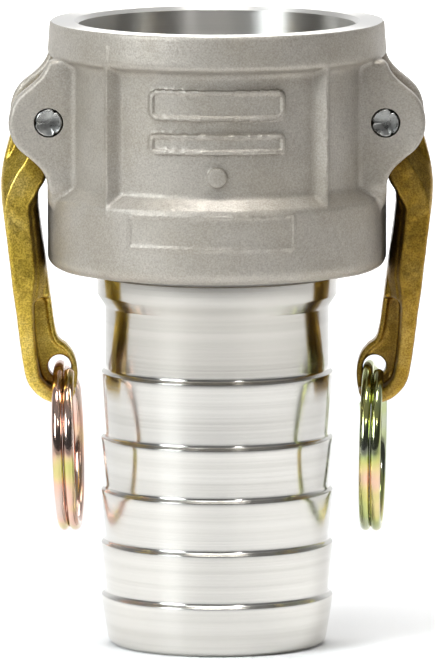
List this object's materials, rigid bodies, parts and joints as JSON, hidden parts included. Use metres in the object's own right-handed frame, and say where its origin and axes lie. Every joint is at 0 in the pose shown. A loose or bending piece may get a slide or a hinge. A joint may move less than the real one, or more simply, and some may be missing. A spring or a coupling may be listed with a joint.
{
  "type": "camlock coupling",
  "caption": "Female cam-and-groove coupler with hinged cam arms and pull rings, cast in one piece with a barbed hose shank.",
  "frame": {"origin": "centre of the shank's open end, which the part stands on", "axes": "+Z along the flow axis towards the mouth of the cup, cam arms at +X and -X, pivot pins along Y, framed panel with raised plates at -Y"},
  "size_m": [0.0994, 0.0782, 0.1445],
  "materials": {
    "cast_aluminium": "sand-cast, matte, with a turned shank and bore",
    "gasket_rubber": "moulded nitrile rubber, semi-matte",
    "arm_brass": "cast brass, satin",
    "pin_steel": "drawn stainless wire",
    "ring_steel": "glossy yellow-passivated zinc plating"
  },
  "bodies": {
    "body": {"coupler_body": "cast_aluminium", "gasket": "gasket_rubber", "left_pivot_pin": "pin_steel", "right_pivot_pin": "pin_steel"},
    "left_arm": {"left_cam_arm": "arm_brass"},
    "right_arm": {"right_cam_arm": "arm_brass"},
    "left_ring": {"left_pull_ring": "ring_steel"},
    "right_ring": {"right_pull_ring": "ring_steel"}
  },
  "joints": [
    {"name": "left_arm_hinge", "type": "hinge", "parent": "body", "child": "left_arm", "pos_m": [-0.0386, 0, 0.1224], "axis": [0, 1, 0], "range_deg": [0, 120]},
    {"name": "right_arm_hinge", "type": "hinge", "parent": "body", "child": "right_arm", "pos_m": [0.0386, 0, 0.1224], "axis": [0, -1, 0], "range_deg": [0, 120]},
    {"name": "left_ring_hinge", "type": "hinge", "parent": "left_arm", "child": "left_ring", "pos_m": [-0.0363, 0, 0.0646], "axis": [0, 1, 0], "range_deg": [-5, 150]},
    {"name": "right_ring_hinge", "type": "hinge", "parent": "right_arm", "child": "right_ring", "pos_m": [0.0363, 0, 0.0646], "axis": [0, -1, 0], "range_deg": [-8, 150]}
  ]
}
